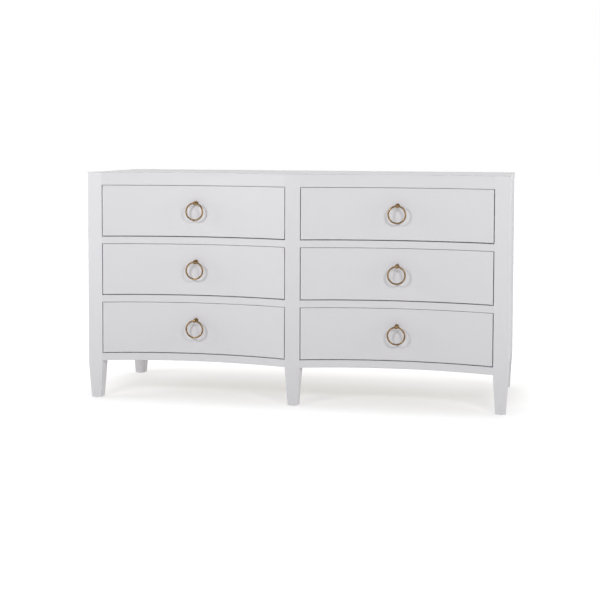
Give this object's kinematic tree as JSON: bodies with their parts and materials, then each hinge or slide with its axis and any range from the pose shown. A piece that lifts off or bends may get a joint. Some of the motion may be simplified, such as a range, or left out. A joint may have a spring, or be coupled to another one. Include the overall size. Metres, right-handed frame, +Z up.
{
  "type": "double dresser",
  "caption": "White painted double dresser with concave drawer fronts, tapered legs and brass ring pulls on drilled ball posts.",
  "frame": {"origin": "on the floor, under the middle of the bounding box", "axes": "+X to the right seen from the front, +Y to the back, +Z up; the drawers open towards -Y"},
  "size_m": [1.626, 0.56, 0.883],
  "materials": {
    "white_satin_paint": "satin white paint",
    "drawer_wood": "clear satin lacquer",
    "case_hardwood": "bare",
    "plywood": "sealed veneer",
    "antique_brass": "antique satin",
    "slide_steel": "zinc plated",
    "screw_steel": "zinc plated",
    "glide_plastic": "moulded"
  },
  "bodies": {
    "case": {"front_left_leg": "white_satin_paint", "front_centre_leg": "white_satin_paint", "front_right_leg": "white_satin_paint", "rear_left_leg": "white_satin_paint", "rear_right_leg": "white_satin_paint", "foot_glides": "glide_plastic", "top_panel": "white_satin_paint", "bottom_panel": "plywood", "centre_partition": "plywood", "left_side_panel": "white_satin_paint", "right_side_panel": "white_satin_paint", "bottom_rails": "white_satin_paint", "top_rails": "white_satin_paint", "middle_drawer_rails": "white_satin_paint", "upper_drawer_rails": "white_satin_paint", "rear_top_rail": "white_satin_paint", "rear_bottom_rail": "white_satin_paint", "rear_centre_stile": "case_hardwood", "left_back_panel": "plywood", "right_back_panel": "plywood", "back_panel_screws": "screw_steel", "slide_packers": "case_hardwood", "glue_blocks": "case_hardwood", "slide_cabinet_members": "slide_steel"},
    "lower_left_drawer": {"lower_left_drawer_front": "white_satin_paint", "lower_left_drawer_box": "drawer_wood", "lower_left_slide_drawer_members": "slide_steel", "lower_left_pull_post": "antique_brass"},
    "lower_left_slide_middle": {"lower_left_slide_middle_members": "slide_steel"},
    "lower_left_ring": {"lower_left_pull_ring": "antique_brass"},
    "lower_right_drawer": {"lower_right_drawer_front": "white_satin_paint", "lower_right_drawer_box": "drawer_wood", "lower_right_slide_drawer_members": "slide_steel", "lower_right_pull_post": "antique_brass"},
    "lower_right_slide_middle": {"lower_right_slide_middle_members": "slide_steel"},
    "lower_right_ring": {"lower_right_pull_ring": "antique_brass"},
    "middle_left_drawer": {"middle_left_drawer_front": "white_satin_paint", "middle_left_drawer_box": "drawer_wood", "middle_left_slide_drawer_members": "slide_steel", "middle_left_pull_post": "antique_brass"},
    "middle_left_slide_middle": {"middle_left_slide_middle_members": "slide_steel"},
    "middle_left_ring": {"middle_left_pull_ring": "antique_brass"},
    "middle_right_drawer": {"middle_right_drawer_front": "white_satin_paint", "middle_right_drawer_box": "drawer_wood", "middle_right_slide_drawer_members": "slide_steel", "middle_right_pull_post": "antique_brass"},
    "middle_right_slide_middle": {"middle_right_slide_middle_members": "slide_steel"},
    "middle_right_ring": {"middle_right_pull_ring": "antique_brass"},
    "upper_left_drawer": {"upper_left_drawer_front": "white_satin_paint", "upper_left_drawer_box": "drawer_wood", "upper_left_slide_drawer_members": "slide_steel", "upper_left_pull_post": "antique_brass"},
    "upper_left_slide_middle": {"upper_left_slide_middle_members": "slide_steel"},
    "upper_left_ring": {"upper_left_pull_ring": "antique_brass"},
    "upper_right_drawer": {"upper_right_drawer_front": "white_satin_paint", "upper_right_drawer_box": "drawer_wood", "upper_right_slide_drawer_members": "slide_steel", "upper_right_pull_post": "antique_brass"},
    "upper_right_slide_middle": {"upper_right_slide_middle_members": "slide_steel"},
    "upper_right_ring": {"upper_right_pull_ring": "antique_brass"}
  },
  "joints": [
    {"name": "lower_left_drawer_slide", "type": "slide", "parent": "case", "child": "lower_left_drawer", "axis": [0, -1, 0], "range_m": [0, 0.45]},
    {"name": "lower_left_middle_member_slide", "type": "slide", "parent": "case", "child": "lower_left_slide_middle", "axis": [0, -1, 0], "range_m": [0, 0.225]},
    {"name": "lower_left_ring_hinge", "type": "hinge", "parent": "lower_left_drawer", "child": "lower_left_ring", "pos_m": [-0.39225, -0.252, 0.31042], "axis": [-1, 0, 0], "range_deg": [-18, 161]},
    {"name": "lower_right_drawer_slide", "type": "slide", "parent": "case", "child": "lower_right_drawer", "axis": [0, -1, 0], "range_m": [0, 0.45]},
    {"name": "lower_right_middle_member_slide", "type": "slide", "parent": "case", "child": "lower_right_slide_middle", "axis": [0, -1, 0], "range_m": [0, 0.225]},
    {"name": "lower_right_ring_hinge", "type": "hinge", "parent": "lower_right_drawer", "child": "lower_right_ring", "pos_m": [0.39225, -0.252, 0.31042], "axis": [-1, 0, 0], "range_deg": [-18, 161]},
    {"name": "middle_left_drawer_slide", "type": "slide", "parent": "case", "child": "middle_left_drawer", "axis": [0, -1, 0], "range_m": [0, 0.45]},
    {"name": "middle_left_middle_member_slide", "type": "slide", "parent": "case", "child": "middle_left_slide_middle", "axis": [0, -1, 0], "range_m": [0, 0.225]},
    {"name": "middle_left_ring_hinge", "type": "hinge", "parent": "middle_left_drawer", "child": "middle_left_ring", "pos_m": [-0.39225, -0.252, 0.53825], "axis": [-1, 0, 0], "range_deg": [-18, 161]},
    {"name": "middle_right_drawer_slide", "type": "slide", "parent": "case", "child": "middle_right_drawer", "axis": [0, -1, 0], "range_m": [0, 0.45]},
    {"name": "middle_right_middle_member_slide", "type": "slide", "parent": "case", "child": "middle_right_slide_middle", "axis": [0, -1, 0], "range_m": [0, 0.225]},
    {"name": "middle_right_ring_hinge", "type": "hinge", "parent": "middle_right_drawer", "child": "middle_right_ring", "pos_m": [0.39225, -0.252, 0.53825], "axis": [-1, 0, 0], "range_deg": [-18, 161]},
    {"name": "upper_left_drawer_slide", "type": "slide", "parent": "case", "child": "upper_left_drawer", "axis": [0, -1, 0], "range_m": [0, 0.45]},
    {"name": "upper_left_middle_member_slide", "type": "slide", "parent": "case", "child": "upper_left_slide_middle", "axis": [0, -1, 0], "range_m": [0, 0.225]},
    {"name": "upper_left_ring_hinge", "type": "hinge", "parent": "upper_left_drawer", "child": "upper_left_ring", "pos_m": [-0.39225, -0.252, 0.76608], "axis": [-1, 0, 0], "range_deg": [-18, 161]},
    {"name": "upper_right_drawer_slide", "type": "slide", "parent": "case", "child": "upper_right_drawer", "axis": [0, -1, 0], "range_m": [0, 0.45]},
    {"name": "upper_right_middle_member_slide", "type": "slide", "parent": "case", "child": "upper_right_slide_middle", "axis": [0, -1, 0], "range_m": [0, 0.225]},
    {"name": "upper_right_ring_hinge", "type": "hinge", "parent": "upper_right_drawer", "child": "upper_right_ring", "pos_m": [0.39225, -0.252, 0.76608], "axis": [-1, 0, 0], "range_deg": [-18, 161]}
  ],
  "couplings": [
    {"joint": "lower_left_middle_member_slide", "follows": "lower_left_drawer_slide", "ratio": 0.5},
    {"joint": "lower_right_middle_member_slide", "follows": "lower_right_drawer_slide", "ratio": 0.5},
    {"joint": "middle_left_middle_member_slide", "follows": "middle_left_drawer_slide", "ratio": 0.5},
    {"joint": "middle_right_middle_member_slide", "follows": "middle_right_drawer_slide", "ratio": 0.5},
    {"joint": "upper_left_middle_member_slide", "follows": "upper_left_drawer_slide", "ratio": 0.5},
    {"joint": "upper_right_middle_member_slide", "follows": "upper_right_drawer_slide", "ratio": 0.5}
  ]
}
